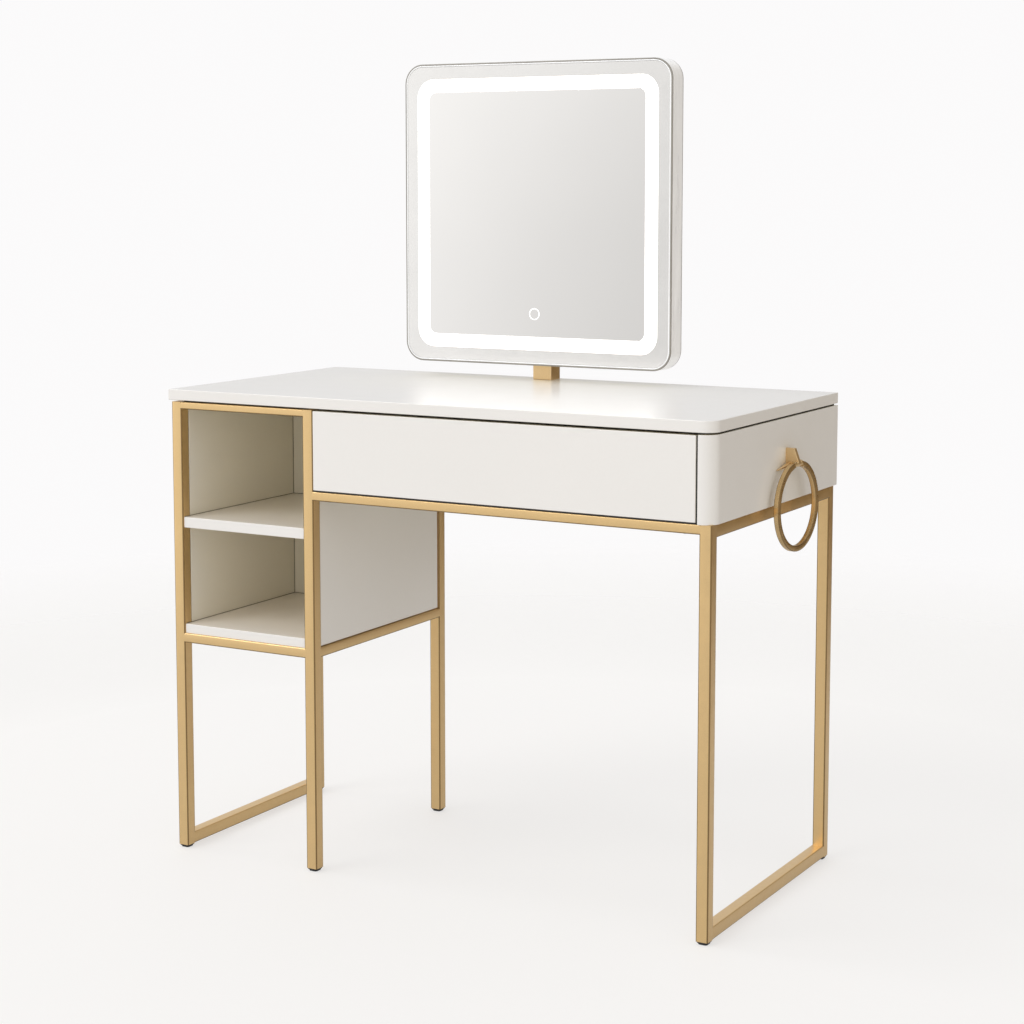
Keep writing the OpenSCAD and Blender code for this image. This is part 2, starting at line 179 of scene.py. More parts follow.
def lacquer(name, colour, corner=CORNER_PAINTED_SHADE, roughness=0.34):
    """Sprayed satin lacquer on board: faint orange peel, slow drift of tone, a little handling haze. Where other
    surfaces are near, the colour is multiplied by corner: painted shade with the default tint, painted light with
    the shelf tint.
    """
    s = Surface(name, colour, roughness, Coat_Weight=0.5, Coat_Roughness=0.17, IOR=1.48)
    drift = s.noise(0.35, 3)
    fine = s.noise(0.004, 2)
    tone = s.maths("ADD", s.maths("MULTIPLY", drift, 0.75), s.maths("MULTIPLY", fine, 0.25))
    clean = s.blend(s.spread(tone, 0, 1, 0.3, 0.7), shade(colour, 0.985), shade(colour, 1.012))
    # Painted shade, and painted light on the shelves: the colour turns to the corner tint where ambient occlusion
    # finds other surfaces near.
    painted_corner_tone = tuple(c * k for c, k in zip(colour, corner))
    s.colour(s.blend(s.spread(s.open_air(0.35), 0, 1, 0.12, 0.92), painted_corner_tone, clean))
    haze = s.noise(0.05, 4)
    s.roughness(s.spread(haze, roughness - 0.04, roughness + 0.06, 0.3, 0.7))
    s.bump(s.noise(0.0026, 2), 0.00006, 0.55)
    s.bump(s.noise(0.03, 2), 0.0002, 0.25)
    return s.material


def powder_coat(name, colour, metallic, roughness, grain=0.0009):
    """Metallic powder coat on steel tube: fine pebble, mica flecks, slightly brighter where it is rubbed."""
    s = Surface(name, colour, roughness, metallic, Coat_Weight=0.3, Coat_Roughness=0.33)
    fleck = s.cells(0.0011)
    body = s.blend(s.spread(fleck, 0, 1, 0.1, 0.75), shade(colour, 1.06), shade(colour, 0.97))
    wear = s.spread(s.noise(0.07, 5), 0, 1, 0.58, 0.8)
    s.colour(s.blend(s.maths("MULTIPLY", wear, 0.35), body, shade(colour, 1.12)))
    s.roughness(s.spread(s.noise(0.012, 3), roughness - 0.05, roughness + 0.07, 0.3, 0.7))
    s.bump(s.noise(grain, 2), 0.00004, 0.4)
    s.bump(s.noise(0.018, 2), 0.00012, 0.2)
    return s.material


def brushed(name, colour, roughness, lines, metallic=1.0, depth=0.00003):
    """Metal with fine lines. lines stretches the noise: the smallest number runs along them."""
    s = Surface(name, colour, roughness, metallic)
    streak = s.noise(0.01, 4, s.stretch(lines))
    s.colour(s.blend(s.spread(streak, 0, 1, 0.3, 0.7), shade(colour, 0.92), shade(colour, 1.06)))
    s.roughness(s.spread(streak, roughness - 0.06, roughness + 0.1, 0.3, 0.7))
    s.bump(streak, depth, 0.5)
    s.bump(s.noise(0.05, 3), 0.0001, 0.15)
    return s.material


def moulded(name, colour, roughness=0.5, grain=0.0007, depth=0.00008, mottle=0.06):
    """Moulded plastic with a spark-eroded grain and faint flow marks."""
    s = Surface(name, colour, roughness)
    grit = s.cells(grain, "SMOOTH_F1")
    s.bump(grit, depth, 0.6)
    flow = s.noise(0.05, 3)
    s.colour(s.blend(s.spread(flow, 0, 1, 0.3, 0.7), shade(colour, 1 - mottle), shade(colour, 1 + mottle)))
    s.roughness(s.spread(s.noise(0.006, 3), roughness - 0.07, roughness + 0.08, 0.3, 0.7))
    return s.material


def linen_foil(name, colour):
    """Drawer board foil: a printed and embossed linen weave at about 1.2 mm."""
    s = Surface(name, colour, 0.55)
    threads = []
    for scale in ((1, 0.12, 0.12), (0.12, 1, 0.12), (0.12, 0.12, 1)):
        threads.append(s.noise(0.0012, 1, s.stretch(scale)))
    weave = s.maths("ADD", threads[0], s.maths("ADD", threads[1], threads[2]))
    s.colour(s.blend(s.spread(weave, 0, 1, 1.2, 1.8), shade(colour, 0.93), shade(colour, 1.04)))
    s.roughness(s.spread(weave, 0.48, 0.62, 1.2, 1.8))
    s.bump(weave, 0.00006, 0.5)
    return s.material


def stained_strip(name):
    """Black stained softwood strip, with its grain just showing."""
    s = Surface(name, (0.012, 0.010, 0.009), 0.7)
    grain = s.noise(0.003, 5, s.stretch((0.15, 1, 1)))
    s.colour(s.blend(grain, (0.006, 0.005, 0.004), (0.028, 0.022, 0.017)))
    s.bump(grain, 0.0002, 0.5)
    return s.material


def hardboard(name):
    """Brown pressed fibre, smooth on its face."""
    s = Surface(name, (0.13, 0.07, 0.035), 0.6)
    fibre = s.noise(0.004, 6)
    s.colour(s.blend(s.spread(fibre, 0, 1, 0.35, 0.65), (0.09, 0.045, 0.02), (0.20, 0.12, 0.06)))
    s.bump(fibre, 0.0001, 0.4)
    return s.material


def mirror_silver(name, tint, roughness=0.012):
    """Silvered float glass: nearly perfect, with the faintest wipe haze and a very slow wave."""
    s = Surface(name, tint, roughness, 1.0, Coat_Weight=0.3, Coat_Roughness=0.02)
    wipe = s.noise(0.05, 4, s.stretch((1, 1, 0.35)))
    s.roughness(s.spread(wipe, roughness, roughness + 0.035, 0.5, 0.85))
    s.colour(s.blend(s.spread(s.noise(0.2, 2), 0, 1, 0.3, 0.7), shade(tint, 0.985), tint))
    s.bump(s.noise(0.16, 1), 0.00004, 0.15)
    return s.material


def milky_glass(name):
    """The border outside the lit band: white back-painted glass with a gloss face."""
    s = Surface(name, (0.86, 0.855, 0.85), 0.14, 0.8, Coat_Weight=1.0, Coat_Roughness=0.04, IOR=1.52)
    depth = s.noise(0.09, 3)
    s.colour(s.blend(s.spread(depth, 0, 1, 0.3, 0.7), (0.835, 0.828, 0.822), (0.865, 0.858, 0.852)))
    s.roughness(s.spread(s.noise(0.02, 3), 0.11, 0.18, 0.3, 0.7))
    s.bump(s.noise(0.1, 1), 0.00003, 0.15)
    return s.material


def lit_frost(name, strength):
    """Sandblasted glass with the light behind it."""
    s = Surface(name, (0.93, 0.93, 0.92), 0.55)
    frost = s.noise(0.0006, 2)
    s.bump(frost, 0.00004, 0.5)
    even = s.noise(0.02, 2)
    glow = s.blend(s.spread(even, 0, 1, 0.3, 0.7), (1.0, 0.985, 0.955), (1.0, 0.995, 0.98))
    s.link(glow, s.shader.inputs["Emission Color"])
    s.shader.inputs["Emission Strength"].default_value = strength
    s.roughness(s.spread(frost, 0.48, 0.62, 0.3, 0.7))
    return s.material


def painted_glow(material, strength):
    """Painted light: an even white glow on the rim, which is no lamp, that brightens it."""
    shader = material.node_tree.nodes["Principled BSDF"]
    shader.inputs["Emission Color"].default_value = (1.0, 1.0, 1.0, 1)
    shader.inputs["Emission Strength"].default_value = strength
    return material


def circuit(name, mask):
    """Solder mask with pads and a few tracks in it."""
    s = Surface(name, mask, 0.4)
    tracks = s.cells(0.004, "DISTANCE_TO_EDGE")
    s.colour(s.blend(s.spread(tracks, 1, 0, 0.02, 0.09), mask, shade(mask, 1.8)))
    s.bump(tracks, 0.00005, 0.4)
    return s.material


def floor_paper():
    """Pale seamless paper that fades out far from the table."""
    s = Surface("floor_paper", (0.30, 0.295, 0.285), 0.7, Emission_Color=(1.0, 0.99, 0.985, 1))
    s.colour(s.blend(s.noise(0.6, 3), (0.295, 0.290, 0.280), (0.305, 0.300, 0.290)))
    s.bump(s.noise(0.0015, 2), 0.00005, 0.3)
    tree = s.tree
    seen = tree.nodes.new("ShaderNodeLightPath")
    glow = s.spread(seen.outputs["Is Camera Ray"], FLOOR_GLOW, FLOOR_GLOW_SEEN)
    s.link(glow, s.shader.inputs["Emission Strength"])
    reach = tree.nodes.new("ShaderNodeVectorMath")
    reach.operation = "LENGTH"
    s.link(s.place, reach.inputs[0])
    clear = tree.nodes.new("ShaderNodeBsdfTransparent")
    mix = tree.nodes.new("ShaderNodeMixShader")
    fade = s.spread(reach.outputs["Value"], 0, 1, FLOOR_FADE_START, FLOOR_FADE_END)
    s.link(fade, mix.inputs[0])
    s.link(s.shader.outputs[0], mix.inputs[1])
    s.link(clear.outputs[0], mix.inputs[2])
    s.link(mix.outputs[0], tree.nodes["Material Output"].inputs["Surface"])
    return s.material


WHITE = (0.845, 0.826, 0.803)
MATERIALS = {
    "white_lacquer": lacquer("satin_white_lacquer", WHITE),
    # Painted light: a copy of the white lacquer that turns brighter, not darker, where other surfaces are near.
    "shelf_painted_light_lacquer": lacquer("satin_shelf_painted_light_lacquer", WHITE, SHELF_PAINTED_LIGHT),
    "gold_frame": powder_coat("champagne_powder_coat", (0.80, 0.562, 0.272), 0.90, 0.34),
    # Painted shade: a dark brown-gold for the rounded edges of the tubes and the ring.
    "gold_painted_shade_edge": powder_coat("champagne_painted_shade_edge", (0.27, 0.170, 0.070), 0.92, 0.36),
    "gold_fitting": powder_coat("champagne_fitting", (0.76, 0.545, 0.285), 0.80, 0.33, 0.0005),
    "ring_metal": brushed("champagne_satin_metal", (0.66, 0.47, 0.235), 0.27, (0.3, 0.3, 1), 0.9),
    # Painted shade: a dark brown for the sealant lines in the compartments' corners.
    "joint_shade_line": moulded("brown_painted_shade_sealant", (0.19, 0.155, 0.11), 0.6),
    "drawer_board": linen_foil("linen_foil", (0.72, 0.70, 0.66)),
    "dark_batten": stained_strip("black_stained_strip"),
    "hardboard": hardboard("hardboard"),
    "zinc_steel": brushed("zinc_plated_steel", (0.62, 0.64, 0.67), 0.32, (1, 0.06, 1)),
    "black_plastic": moulded("black_plastic", (0.018, 0.018, 0.019)),
    # Painted light: the rim's material glows a little, though it is no lamp.
    "mirror_housing": painted_glow(
        brushed("satin_silver_rim", (0.83, 0.84, 0.855), 0.30, (0.12, 1, 0.12), 0.2), 0.19),
    # Painted shade: a dark grey for the trims, where the seams between housing, glass and back would lie in shade.
    "rim_painted_shade_trim": brushed("grey_rim_painted_shade_trim", (0.33, 0.315, 0.29), 0.38, (0.12, 1, 0.12), 0.6),
    "mirror_shell": moulded("white_textured_plastic", (0.80, 0.795, 0.785), 0.48, 0.0012, 0.0001, 0.015),
    "mirror_glass": mirror_silver("silvered_glass", (0.91, 0.90, 0.895)),
    "border_glass": milky_glass("milky_glass"),
    "light_diffuser": lit_frost("lit_frosted_glass", 1.1),
    "white_board": circuit("white_light_board", (0.78, 0.78, 0.78)),
    "green_board": circuit("green_board", (0.02, 0.09, 0.04)),
}


# ---------------------------------------------------------------- mesh tools

def span(node):
    """Low and high corner of a CAD node."""
    lo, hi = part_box(node)
    return Vector(lo), Vector(hi)


def as_object(name, bm):
    """A scene object made of bm, with its faces turned outward."""
    bmesh.ops.recalc_face_normals(bm, faces=bm.faces)
    mesh = bpy.data.meshes.new(name)
    bm.to_mesh(mesh)
    bm.free()
    piece = bpy.data.objects.new(name, mesh)
    bpy.context.scene.collection.objects.link(piece)
    return piece


def smooth(mesh, angle):
    """Smooth shading, with edges sharper than angle degrees kept sharp."""
    mesh.shade_smooth()
    mesh.set_sharp_from_angle(angle=math.radians(angle))


def break_edges(piece, width, angle, segments=3):
    """A bevel on the edges sharper than angle degrees."""
    edge = piece.modifiers.new("edge", "BEVEL")
    edge.width = width
    edge.segments = segments
    edge.limit_method = "ANGLE"
    edge.angle_limit = math.radians(angle)
    return edge


def finish_mesh(name, bm, body, slot, bevel=0.0, angle=32, segments=3, material=None):
    """Makes an object of bm, rides it on body, and gives it the slot's finish."""
    bmesh.ops.remove_doubles(bm, verts=bm.verts, dist=1e-7)
    piece = as_object(name, bm)
    smooth(piece.data, angle)
    piece.data.materials.append(material or MATERIALS[slot])
    if bevel:
        break_edges(piece, bevel, angle, segments).harden_normals = True
    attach(piece, body)
    return piece


def loft(bm, rings, closed=True, caps=True):
    """Faces between rings of points. closed joins the last ring to the first; caps fills the ends."""
    loops = [[bm.verts.new(p) for p in ring] for ring in rings]
    pairs = list(zip(loops, loops[1:]))
    if closed:
        pairs.append((loops[-1], loops[0]))
    for a, b in pairs:
        for i in range(len(a)):
            j = (i + 1) % len(a)
            bm.faces.new((a[i], a[j], b[j], b[i]))
    if caps and not closed:
        bm.faces.new(loops[0][::-1])
        bm.faces.new(loops[-1])


def arc(cx, cy, r, start, end, steps):
    """Points on an arc, angles in degrees, both ends included."""
    out = []
    for i in range(steps + 1):
        a = math.radians(start + (end - start) * i / steps)
        out.append((cx + r * math.cos(a), cy + r * math.sin(a)))
    return out


def round_rect(w, h, r, steps=5):
    """A centred rectangle with round corners, anticlockwise."""
    x, y = w / 2 - r, h / 2 - r
    return (arc(x, y, r, 0, 90, steps) + arc(-x, y, r, 90, 180, steps)
            + arc(-x, -y, r, 180, 270, steps) + arc(x, -y, r, 270, 360, steps))


def extrude(bm, outline, low, high, axis=2):
    """A prism of a 2D outline between low and high along axis. The outline is in the other two axes."""

    def point(u, v, t):
        return {0: (t, u, v), 1: (u, t, v), 2: (u, v, t)}[axis]
    loft(bm, [[point(u, v, t) for u, v in outline] for t in (low, high)], closed=False)


def corners(lo, hi):
    """The plan of a box, anticlockwise."""
    return [(lo[0], lo[1]), (hi[0], lo[1]), (hi[0], hi[1]), (lo[0], hi[1])]


def lathe(bm, profile, origin, direction, steps=32):
    """Turns (radius, distance along direction) points about an axis."""
    d = Vector(direction).normalized()
    side = d.orthogonal().normalized()
    up = d.cross(side)
    rings = []
    for r, t in profile:
        centre = Vector(origin) + d * t
        rings.append([centre + (side * math.cos(a) + up * math.sin(a)) * max(r, 1e-5)
                      for a in (2 * math.pi * i / steps for i in range(steps))])
    loft(bm, rings, closed=False)


# ---------------------------------------------------------------- frame

TUBE_EDGE = 1.8 * MM
WELD_R = 0.45 * MM
WELD_STEP = 1.1 * MM
LEGS = ("leg_left_front", "leg_left_back", "leg_tower_front", "leg_tower_back",
        "leg_right_front", "leg_right_back")


def tube(node, axis, ends=(0, 0)):
    """A rolled square tube with round long edges, painted darker as shade: all of them on the legs, the lower ones
    on the rails. ends run on into the neighbour, as a weld does.
    """
    lo, hi = span(node)
    across = [i for i in (0, 1, 2) if i != axis]
    mid = (lo + hi) / 2
    size = hi - lo
    outline = [(mid[across[0]] + u, mid[across[1]] + v)
               for u, v in round_rect(size[across[0]], size[across[1]], TUBE_EDGE)]
    bm = bmesh.new()
    extrude(bm, outline, lo[axis] - ends[0], hi[axis] + ends[1], axis)
    piece = finish_mesh("tube_" + node, bm, "table", "gold_frame", angle=50)
    # Painted shade: the rounded edges of a leg, and the lower ones of a rail, take the dark edge finish.
    piece.data.materials.append(MATERIALS["gold_painted_shade_edge"])
    for face in piece.data.polygons:
        turned = max(abs(c) for c in face.normal) < 0.995
        if turned and (axis == 2 or face.normal.z < 0):
            face.material_index = 1
    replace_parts(piece, node)


def weld_bead(name, corner, direction, length):
    """A thin ground weld line along an inside corner."""
    bm = bmesh.new()
    steps = int(length / WELD_STEP)
    d = Vector(direction)
    rings = []
    for i in range(steps + 1):
        r = WELD_R * (1 + 0.18 * math.sin(i * 1.9) + rng.uniform(-0.1, 0.1))
        centre = Vector(corner) + d * (length * i / steps)
        side = d.orthogonal().normalized()
        up = d.cross(side)
        rings.append([centre + (side * math.cos(a) + up * math.sin(a)) * r
                      for a in (2 * math.pi * k / 8 for k in range(8))])
    loft(bm, rings, closed=False)
    finish_mesh(name, bm, "table", "gold_frame", angle=80)


def make_frame():
    for node in LEGS:
        tube(node, 2)
    for node in ("rail_drawer_front", "rail_tower_top", "rail_tower_front", "rail_tower_back"):
        tube(node, 0, (TUBE_EDGE, TUBE_EDGE))
    for node in ("rail_floor_left", "rail_floor_right", "rail_side_right", "rail_tower_left",
                 "rail_tower_right"):
        tube(node, 1, (TUBE_EDGE, TUBE_EDGE))
    # Beads in the inside corners where the floor rails meet the legs.
    for node in ("rail_floor_left", "rail_floor_right"):
        lo, hi = span(node)
        for end, y in enumerate((lo.y, hi.y)):
            weld_bead(f"weld_{node}_{end}", (lo.x + TUBE_EDGE, y, hi.z), (1, 0, 0),
                      hi.x - lo.x - 2 * TUBE_EDGE)


def make_glides():
    """Push-in glides: a collar under the tube and a domed pad that meets the floor."""
    bm = bmesh.new()
    # Width, corner radius and height of each ring, in millimetres.
    profile = ((12, 3.0, 0.0), (14.6, 3.6, 0.35), (15.6, 3.8, 1.1), (15.9, 3.8, 2.6),
               (16.2, 3.6, 2.9), (17.8, 2.4, 3.1), (18, 2.2, 3.4), (18, 2.2, 4.7),
               (17.6, 2.2, 5.0), (16.9, 1.0, 5.0), (16.9, 1.0, 12.0))
    for leg in LEGS:
        lo, hi = span(leg)
        c = (lo + hi) / 2
        rings = []
        for w, r, z in profile:
            rings.append([(c.x + u, c.y + v, z * MM)
                          for u, v in round_rect(w * MM, w * MM, r * MM, 6)])
        loft(bm, rings, closed=False)
    piece = finish_mesh("glides", bm, "table", "black_plastic", angle=40)
    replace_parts(piece, "foot_glides")


# ---------------------------------------------------------------- boards

CORNER = 24 * MM
BOARD_THICK = 18 * MM
SHADE_SEALANT_WIDTH = 0.8 * MM


def board(node, body, slot, bevel, material=None, back_off=0.0):
    """A flat board with its edges broken. back_off leaves a hairline at its front and back ends."""
    lo, hi = span(node)
    lo.y += back_off
    hi.y -= back_off
    bm = bmesh.new()
    extrude(bm, corners(lo, hi), lo.z, hi.z)
    piece = finish_mesh("board_" + node, bm, body, slot, bevel, material=material)
    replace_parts(piece, node)


def make_top():
    """The top, with its one rounded corner at the front right."""
    lo, hi = span("top_panel")
    bm = bmesh.new()
    outline = ([(lo.x, lo.y)] + arc(hi.x - CORNER, lo.y + CORNER, CORNER, -90, 0, 20)
               + [(hi.x, hi.y), (lo.x, hi.y)])
    extrude(bm, outline, lo.z, hi.z)
    piece = finish_mesh("top_board", bm, "table", "white_lacquer", 1.3 * MM, segments=4)
    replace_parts(piece, "top_panel")


def make_side_panel():
    """The right side panel, which turns the front corner and meets the drawer front."""
    lo, hi = span("side_panel_right")
    thick = BOARD_THICK
    bm = bmesh.new()
    outer = [(lo.x, lo.y)] + arc(hi.x - CORNER, lo.y + CORNER, CORNER, -90, 0, 24) + [(hi.x, hi.y)]
    inner = [(hi.x - thick, hi.y), (hi.x - thick, lo.y + thick), (lo.x, lo.y + thick)]
    extrude(bm, outer + inner, lo.z, hi.z)
    piece = finish_mesh("corner_panel", bm, "table", "white_lacquer", 0.9 * MM)
    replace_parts(piece, "side_panel_right")


def make_case():
    make_top()
    make_side_panel()
    board("tower_panel_left", "table", "white_lacquer", 0.6 * MM)
    board("tower_panel_right", "table", "white_lacquer", 0.9 * MM, back_off=0.9 * MM)
    board("tower_panel_back", "table", "white_lacquer", 0.5 * MM)
    # Painted light: the shelf and floor boards brighten where other surfaces are near.
    for node in ("tower_shelf", "tower_floor"):
        board(node, "table", "white_lacquer", 1.0 * MM, MATERIALS["shelf_painted_light_lacquer"])
    make_joint_lines()
    board("bay_side_left", "table", "white_lacquer", 0.5 * MM)
    board("runner_packer", "table", "drawer_board", 0.5 * MM)
    board("drawer_front", "drawer", "white_lacquer", 1.1 * MM)
    for node in ("drawer_side_left", "drawer_side_right", "drawer_back"):
        board(node, "drawer", "drawer_board", 0.7 * MM)
    board("drawer_bottom", "drawer", "drawer_board", 0.3 * MM)


def make_joint_lines():
    """Thin dark sealant in the inside corners of the two compartments, a painted shade line along each crease."""
    left = span("tower_panel_left")[1].x
    right = span("tower_panel_right")[0].x
    back = span("tower_panel_back")[0].y
    w = SHADE_SEALANT_WIDTH
    bm = bmesh.new()
    for node in ("tower_shelf", "tower_floor"):
        lo, hi = span(node)
        roof = span("tower_shelf")[0].z if node == "tower_floor" else span("tower_panel_back")[1].z
        for x0, x1 in ((left, left + w), (right - w, right)):
            wall = [(x0, lo.y + 3 * MM), (x1, lo.y + 3 * MM), (x1, back), (x0, back)]
            extrude(bm, wall, hi.z, hi.z + w)
            extrude(bm, [(x0, back - w), (x1, back - w), (x1, back), (x0, back)], hi.z + w, roof - w)
            extrude(bm, wall, roof - w, roof)
        extrude(bm, [(left + w, back - w), (right - w, back - w), (right - w, back), (left + w, back)],
                hi.z, hi.z + w)
    finish_mesh("tower_joint_lines", bm, "table", "dark_batten", angle=30,
                material=MATERIALS["joint_shade_line"])


# ---------------------------------------------------------------- fasteners

def cross_screws(name, places, direction, radius, body):
    """One piece of several screws, with their crosses cut out."""
    bm = bmesh.new()
    d = Vector(direction).normalized()
    side = d.orthogonal().normalized()
    up = d.cross(side)
    for place in places:
        turn = rng.uniform(0, math.pi / 2)
        a = side * math.cos(turn) + up * math.sin(turn)
        b = d.cross(a)
        screw_head(bm, Vector(place), d, a, b, radius)
    finish_mesh(name, bm, body, "zinc_steel", angle=28)


def screw_head(bm, centre, d, a, b, r):
    """A domed head with a cross pressed into it. d points out of it, and a and b span its plane."""
    steps = 32
    rings = [(1.0, -0.2), (1.0, 0.10), (0.95, 0.30), (0.82, 0.43), (0.62, 0.50)]
    loops = []
    for radius, height in rings:
        loops.append([bm.verts.new(centre + d * (height * r)
                                   + (a * math.cos(t) + b * math.sin(t)) * (radius * r))
                      for t in (2 * math.pi * i / steps for i in range(steps))])
    for lower, upper in zip(loops, loops[1:]):
        for i in range(steps):
            j = (i + 1) % steps
            bm.faces.new((lower[i], lower[j], upper[j], upper[i]))
    bm.faces.new(loops[0][::-1])
    inner, floor = [], []
    for i in range(steps):
        t = 2 * math.pi * i / steps
        arm = abs(math.cos(2 * t)) ** 6
        reach = (0.14 + 0.42 * arm) * r
        ray = a * math.cos(t) + b * math.sin(t)
        inner.append(bm.verts.new(centre + d * (0.53 * r) + ray * reach))
        floor.append(bm.verts.new(centre + d * (0.20 * r) + ray * reach * 0.8))
    for lower, upper in ((loops[-1], inner), (inner, floor)):
        for i in range(steps):
            j = (i + 1) % steps
            bm.faces.new((lower[i], lower[j], upper[j], upper[i]))
    bm.faces.new(floor)


# ---------------------------------------------------------------- mirror

# Distances in from the housing's edge to the front trim's inner edge and the lip's inner edge.
TRIM = 2.9 * MM
LIP = 4.9 * MM
# Corner radii of the housing, the lit band's outside and the centre glass.
HOUSING_R = 35 * MM
BAND_R = 33 * MM
BAND_IN_R = 13 * MM
NOTCH_HALF = 30 * MM


def round_square(centre, width, radius, y):
    """A rounded square in the plane of the mirror, at depth y."""
    return [(centre.x + u, y, centre.z + v) for u, v in round_rect(width, width, radius, 14)]


def face_loop(centre, size, inset, y):
    """The housing's outline, inset from its edge, at depth y."""
    return round_square(centre, size - 2 * inset, max(HOUSING_R - inset, 0.4 * MM), y)


def make_mirror():
    """The housing, then the glass from the outside in, the touch mark and the back."""
    lo, hi = span("mirror_frame")
    centre = (lo + hi) / 2
    size = hi.x - lo.x
    glass_lo, glass_hi = span("mirror_border")
    band_in = span("light_band")[0].x - lo.x
    band_out = span("mirror_glass")[0].x - lo.x
    y0, y1 = glass_lo.y, glass_hi.y
    make_housing(centre, size, lo, hi, glass_lo.x - lo.x)
    make_border_glass(centre, size, band_in, y0, y1)
    make_lit_band(centre, size, band_in, band_out, y0, y1)
    make_centre_glass(centre, size, band_out, y0, y1)
    make_touch_mark(y0)
    make_mirror_back(centre, size, hi.y)


def make_housing(centre, size, lo, hi, rim):
    """A satin wall and a polished lip, between two darker trims that carry the seams. The trims' grey also paints
    in the shade of those seams.
    """
    front, back = lo.y, hi.y
    bm = bmesh.new()
    wall = [(rim, back - 0.6 * MM), (0.5 * MM, back - 0.6 * MM), (0.5 * MM, back - 2.6 * MM),
            (0, back - 3.0 * MM), (0, front + 2.8 * MM), (0.4 * MM, front + 2.4 * MM),
            (TRIM, front + 2.4 * MM), (TRIM, front + 0.5 * MM), (TRIM + 0.3 * MM, front + 0.1 * MM),
            (TRIM + 0.7 * MM, front), (LIP - 0.5 * MM, front), (LIP - 0.2 * MM, front + 0.2 * MM),
            (LIP, front + 0.6 * MM), (LIP, front + 1.5 * MM), (rim, front + 3 * MM)]
    loft(bm, [face_loop(centre, size, d, y) for d, y in wall])
    housing = finish_mesh("mirror_rim", bm, "mirror", "mirror_housing", angle=40)
    front_trim = [(0.1 * MM, front + 2.7 * MM), (0.05 * MM, front + 1.6 * MM),
                  (0.45 * MM, front + 0.9 * MM), (1.1 * MM, front + 0.7 * MM),
                  (TRIM + 0.1 * MM, front + 0.9 * MM), (TRIM + 0.1 * MM, front + 2.7 * MM)]
    back_trim = [(0.6 * MM, back - 2.9 * MM), (0.1 * MM, back - 2.7 * MM), (0, back - 1.2 * MM),
                 (0.5 * MM, back - 0.2 * MM), (1.3 * MM, back), (2.6 * MM, back - 0.2 * MM),
                 (2.6 * MM, back - 0.7 * MM)]
    for end, profile in (("front", front_trim), ("back", back_trim)):
        bm = bmesh.new()
        loft(bm, [face_loop(centre, size, d, y) for d, y in profile])
        trim = finish_mesh("rim_painted_shade_trim_" + end, bm, "mirror", "mirror_housing", angle=40,
                           material=MATERIALS["rim_painted_shade_trim"])
        if end == "back":
            cut_notch(trim, centre, lo.z, front + 25 * MM, back)
    cut_notch(housing, centre, lo.z, front + 25 * MM, back)
    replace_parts(housing, "mirror_frame")


def make_border_glass(centre, size, band_in, y0, y1):
    """Border glass, with a ground edge that catches the light."""
    bm = bmesh.new()
    seat = 0.3 * MM
    outer = [(LIP + seat, y1), (LIP + seat, y0 + 0.2 * MM), (LIP + 0.5 * MM, y0)]
    loops = [face_loop(centre, size, d, y) for d, y in outer]
    w = size - 2 * band_in
    inner = [(w, y0), (w + 0.6 * MM, y0 + 0.3 * MM), (w + 0.6 * MM, y1)]
    loops += [round_square(centre, s, BAND_R, y) for s, y in inner]
    loft(bm, loops)
    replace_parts(finish_mesh("border_glass", bm, "mirror", "border_glass", angle=20), "mirror_border")


def make_lit_band(centre, size, band_in, band_out, y0, y1):
    """The lit band, a hair below the face, with a fine slit on either side."""
    bm = bmesh.new()
    dip = 0.12 * MM
    slit = 0.4 * MM
    band = [(band_in + slit, y1), (band_in + slit, y0 + dip), (band_out - slit, y0 + dip),
            (band_out - slit, y1)]
    loops = []
    for d, y in band:
        step = (d - band_in) / (band_out - band_in)
        r = BAND_R + (BAND_IN_R - BAND_R) * step
        loops.append(round_square(centre, size - 2 * d, r, y))
    loft(bm, loops)
    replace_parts(finish_mesh("lit_band", bm, "mirror", "light_diffuser", angle=20), "light_band")


def make_centre_glass(centre, size, band_out, y0, y1):
    """The silvered glass inside the lit band."""
    bm = bmesh.new()
    w = size - 2 * band_out
    loops = [round_square(centre, s, BAND_IN_R, y)
             for s, y in ((w, y1), (w, y0 + 0.15 * MM), (w - 0.3 * MM, y0))]
    loft(bm, loops, closed=False)
    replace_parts(finish_mesh("centre_glass", bm, "mirror", "mirror_glass", angle=20), "mirror_glass")


def cut_notch(piece, centre, low, y0, y1):
    """Cuts away a block where the post passes through the bottom of the housing."""
    bm = bmesh.new()
    plan = corners((centre.x - NOTCH_HALF, y0), (centre.x + NOTCH_HALF, y1 + 5 * MM))
    extrude(bm, plan, low - 5 * MM, low + 4 * MM)
    block = as_object("notch", bm)
    cut = piece.modifiers.new("post_notch", "BOOLEAN")
    cut.operation = "DIFFERENCE"
    cut.object = block
    cut.solver = "EXACT"
    apply_modifiers(piece)
    bpy.data.objects.remove(block)


def apply_modifiers(piece):
    """Turns the piece's evaluated shape into its own mesh."""
    graph = bpy.context.evaluated_depsgraph_get()
    shaped = bpy.data.meshes.new_from_object(piece.evaluated_get(graph))
    piece.modifiers.clear()
    piece.data = shaped
    smooth(shaped, 40)


def make_touch_mark(y):
    """A lit ring, a hair proud of the glass face at depth y."""
    lo, hi = span("touch_mark")
    centre = (lo + hi) / 2
    r = (hi.x - lo.x) / 2
    bm = bmesh.new()
    rings = []
    for radius, depth in ((r, 0.8 * MM), (r, 0), (r - 0.1 * MM, -0.05 * MM),
                          (r - 1.1 * MM, -0.05 * MM), (r - 1.2 * MM, 0), (r - 1.2 * MM, 0.8 * MM)):
        rings.append([(centre.x + u, y + depth, centre.z + v)
                      for u, v in arc(0, 0, radius, 0, 360 - 360 / 64, 63)])
    loft(bm, rings)
    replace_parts(finish_mesh("touch_ring", bm, "mirror", "light_diffuser", angle=60), "touch_mark")


